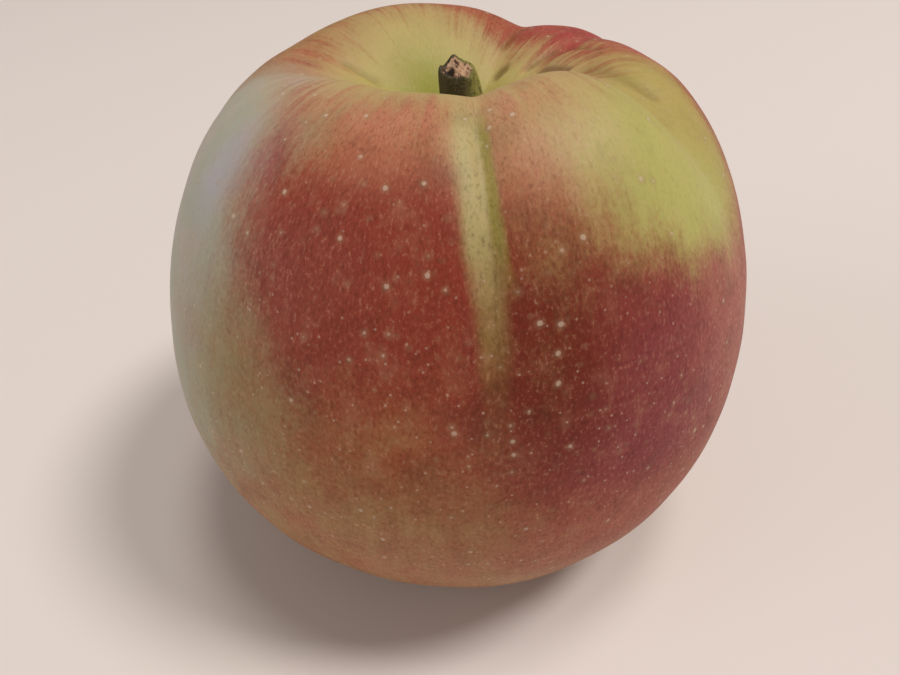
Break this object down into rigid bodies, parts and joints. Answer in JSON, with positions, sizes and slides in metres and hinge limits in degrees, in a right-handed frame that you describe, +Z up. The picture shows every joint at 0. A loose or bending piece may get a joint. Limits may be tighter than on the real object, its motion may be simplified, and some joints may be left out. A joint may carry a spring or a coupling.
{
  "type": "apple",
  "caption": "Whole ripe apple with lobed shoulders, a deep stem cavity with a short torn stem and a dried calyx beneath, standing on its own lobes.",
  "frame": {"origin": "centre of the bounding box at its base, where the feet of the fruit's lobes rest", "axes": "+Z up along the core towards the stem, -Y towards the side with the suture, +X to the right as seen from that side"},
  "size_m": [0.0784, 0.0792, 0.0708],
  "materials": {
    "skin": "semi-matte waxy skin, crimson to salmon blush over yellow-green, with pale lenticels",
    "stem": "rough olive-brown bark with a torn pale wood end",
    "sepal": "dry, brown, downy",
    "stamens": "dry, dark brown"
  },
  "bodies": {
    "root": {"fruit": "skin", "stem": "stem", "sepal_1": "sepal", "sepal_2": "sepal", "sepal_3": "sepal", "sepal_4": "sepal", "sepal_5": "sepal", "stamens": "stamens"}
  },
  "joints": []
}
